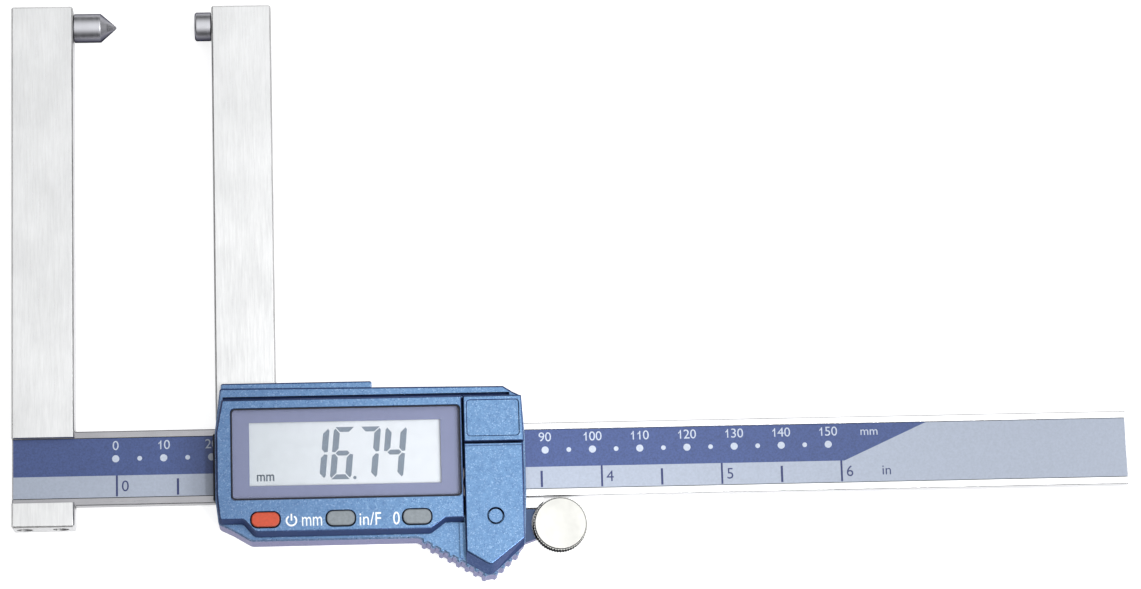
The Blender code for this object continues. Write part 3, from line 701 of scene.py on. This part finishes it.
def make_reading():
    """The reading on the display: slanted seven-segment digits and the unit."""
    wide, tall, thick, gap = 4.45, 11.0, 1.3, 0.3
    pitch, slant = 5.45, 0.1
    right, base = 39.47, -4.6
    point = disc(right - 2 * pitch + 0.35, base + 0.3, 0.36, 16)
    unit_x, unit_y, unit_size, unit_wide = 10.35, -4.7, 3.1, 0.8
    marks = []
    for place_from_right, digit in zip((0, 1, 1.98, 2.96), "4761"):
        x0 = right - wide - place_from_right * pitch
        for letter in SEGMENTS[digit]:
            points = segment(letter, wide, tall, thick, gap)
            leaning = [(x0 + x + slant * (y - tall / 2), base + y) for x, y in points]
            marks.append(flat_shape(leaning))
    marks.append(flat_shape(point))
    for doubling in (0.0, 0.1):
        marks.append(lettering("mm", unit_size, unit_x + doubling, unit_y, unit_wide))
    height = LCD_FACE + DISPLAY_HEIGHT
    print_marks("display_reading", marks, (SLIDER_X, 0), height, "lcd_panel", SEGMENT_GREY)


def ring_arc(x, y, inner, outer, start, end, steps=24):
    """The outline of a part of a ring."""
    angles = [start + (end - start) * i / steps for i in range(steps + 1)]
    out = [(x + outer * math.cos(a), y + outer * math.sin(a)) for a in angles]
    back = [(x + inner * math.cos(a), y + inner * math.sin(a)) for a in reversed(angles)]
    return out + back


def make_cover_print():
    """White function marks beside the buttons: a power symbol and lettering."""
    base = -14.45
    icon_x, icon_y = 15.65, base + 1.15
    inner, outer, gap = 0.85, 1.2, 0.55
    half_line, line_top = 0.17, 1.45
    icon = ring_arc(icon_x, icon_y, inner, outer, math.pi / 2 + gap, math.pi * 2.5 - gap)
    marks = [
        flat_shape(icon),
        flat_shape(bar(icon_x - half_line, icon_y, icon_x + half_line, icon_y + line_top)),
        lettering("mm", 4.1, 19.9, base, 0.71),
        lettering("in/F", 3.85, 31.9, base - 0.1, 0.84),
        lettering("0", 3.85, 37.35, base - 0.1, 0.8),
    ]
    height = COVER_FACE + FIELD_HEIGHT
    print_marks("cover_marks", marks, (SLIDER_X, 0), height, "front_cover", WHITE_INK)


def rounded_ring(box, radius, thickness, steps=6):
    """A closed line of even width that follows a rectangle with round corners."""
    low_x, low_y, high_x, high_y = box
    rings = []
    for inset in (0.0, thickness):
        corners = ((high_x, high_y, 0), (low_x, high_y, 1), (low_x, low_y, 2), (high_x, low_y, 3))
        ring = []
        for corner_x, corner_y, quarter in corners:
            side_x = 1 if corner_x == high_x else -1
            side_y = 1 if corner_y == high_y else -1
            centre = (corner_x - side_x * radius, corner_y - side_y * radius)
            for i in range(steps + 1):
                angle = (quarter + i / steps) * math.pi / 2
                reach = radius - inset
                ring.append((centre[0] + reach * math.cos(angle), centre[1] + reach * math.sin(angle)))
        rings.append(ring)
    return flat_shape(rings[0], (rings[1],))


def make_window_seam_shadow():
    """A painted shadow: a black line round the window, for the shade where it sits in the cover."""
    low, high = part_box("window_lens")
    overlap, corner, wide = 0.05, 1.0, 0.3
    left, bottom, right, top = [
        value / MM for value in (low.x - SLIDER_X, low.y, high.x - SLIDER_X, high.y)
    ]
    outer = [left - overlap, bottom - overlap, right + overlap, top + overlap]
    seam = rounded_ring(outer, corner, wide)
    height = high.z + DISPLAY_HEIGHT
    print_marks("window_seam_shadow", [seam], (SLIDER_X, 0), height, "window_lens", SEAM_PAINTED_SHADOW)


# Surroundings


FLOOR_HALF = 4.0
FLOOR_GAP = 0.0002
# The floor's glow: strength near the middle and far out, and the distances between which it falls
FLOOR_GLOW = (0.8, 0.25, 0.25, 0.9)


def make_stage():
    """A pale floor just under the caliper, glowing most near the middle."""
    bm = bmesh.new()
    bmesh.ops.create_grid(bm, x_segments=1, y_segments=1, size=FLOOR_HALF)
    mesh = bpy.data.meshes.new("floor")
    bm.to_mesh(mesh)
    bm.free()
    floor = bpy.data.objects.new("floor", mesh)
    floor.location.z = CAD_BOUNDS[0][2] - FLOOR_GAP
    bpy.context.scene.collection.objects.link(floor)
    pale = grained("pale_floor", (0.55, 0.55, 0.55), 0.7, 40, 0.01)
    shader = pale.node_tree.nodes["Principled BSDF"]
    shader.inputs["Emission Color"].default_value = (1.0, 1.0, 1.0, 1.0)
    distance = pale.node_tree.nodes.new("ShaderNodeVectorMath")
    distance.operation = "LENGTH"
    pale.node_tree.links.new(place(pale, (1.0, 1.0, 1.0)), distance.inputs[0])
    drive(pale, "Emission Strength", spread(pale, distance.outputs["Value"], *FLOOR_GLOW))
    mesh.materials.append(pale)


# The tent's brightness by height and by side: from and to, then the strengths there
TENT_HEIGHT = (0.5, 0.96, 0.14, 1.3)
TENT_SIDE = (-0.5, 0.5, 0.3, 1.7)


def make_world():
    """A studio tent: bright overhead, dark towards the horizon, a little brighter on the +X side."""
    world = bpy.data.worlds.new("studio")
    bpy.context.scene.world = world
    world.use_nodes = True
    nodes = world.node_tree.nodes
    links = world.node_tree.links
    background = nodes["Background"]
    background.inputs["Color"].default_value = (0.97, 0.98, 1.0, 1.0)
    coordinates = nodes.new("ShaderNodeTexCoord")
    split = nodes.new("ShaderNodeSeparateXYZ")
    links.new(coordinates.outputs["Generated"], split.inputs["Vector"])
    height = nodes.new("ShaderNodeMapRange")
    side = nodes.new("ShaderNodeMapRange")
    for node, axis, values in ((height, "Z", TENT_HEIGHT), (side, "X", TENT_SIDE)):
        for socket, value in zip(("From Min", "From Max", "To Min", "To Max"), values):
            node.inputs[socket].default_value = value
        links.new(split.outputs[axis], node.inputs["Value"])
    product = nodes.new("ShaderNodeMath")
    product.operation = "MULTIPLY"
    links.new(height.outputs["Result"], product.inputs[0])
    links.new(side.outputs["Result"], product.inputs[1])
    links.new(product.outputs["Value"], background.inputs["Strength"])


def add_lamp(data, location, target, power):
    """Puts a lamp in place, aimed at the target."""
    data.energy = power
    lamp = bpy.data.objects.new(data.name, data)
    lamp.location = location
    aim = Vector(target) - lamp.location
    lamp.rotation_euler = aim.to_track_quat("-Z", "Y").to_euler()
    bpy.context.scene.collection.objects.link(lamp)


def make_light():
    """A soft lamp beyond the free end of the beam, and a pool of light on the display unit."""
    key = bpy.data.lights.new("key_light", "AREA")
    key.shape = "DISK"
    key.size = 0.45
    add_lamp(key, (0.62, -0.10, 0.62), (0.12, 0.0, 0.0), 2.5)
    pool = bpy.data.lights.new("pool_light", "SPOT")
    pool.spot_size = math.radians(8.5)
    pool.spot_blend = 1.0
    pool.shadow_soft_size = 0.06
    add_lamp(pool, (0.38, -0.36, 0.96), (0.096, -0.006, 0.0), 32.0)


def make_camera():
    """Almost straight above the beam, a little towards -Y and tilted back."""
    data = bpy.data.cameras.new("camera")
    data.sensor_width = 36.0
    data.lens = 119.56
    data.shift_x = 0.0035
    data.shift_y = -0.0007
    data.clip_start = 0.01
    camera = bpy.data.objects.new("camera", data)
    camera.location = (0.06226, -0.12753, 0.79255)
    camera.rotation_euler = [math.radians(angle) for angle in (11.766, -3.158, -1.703)]
    bpy.context.scene.collection.objects.link(camera)
    bpy.context.scene.camera = camera
    bpy.context.scene.view_settings.view_transform = "Standard"


dress_frame()
make_label()
make_reading()
make_cover_print()
make_window_seam_shadow()
make_stage()
make_world()
make_light()
make_camera()
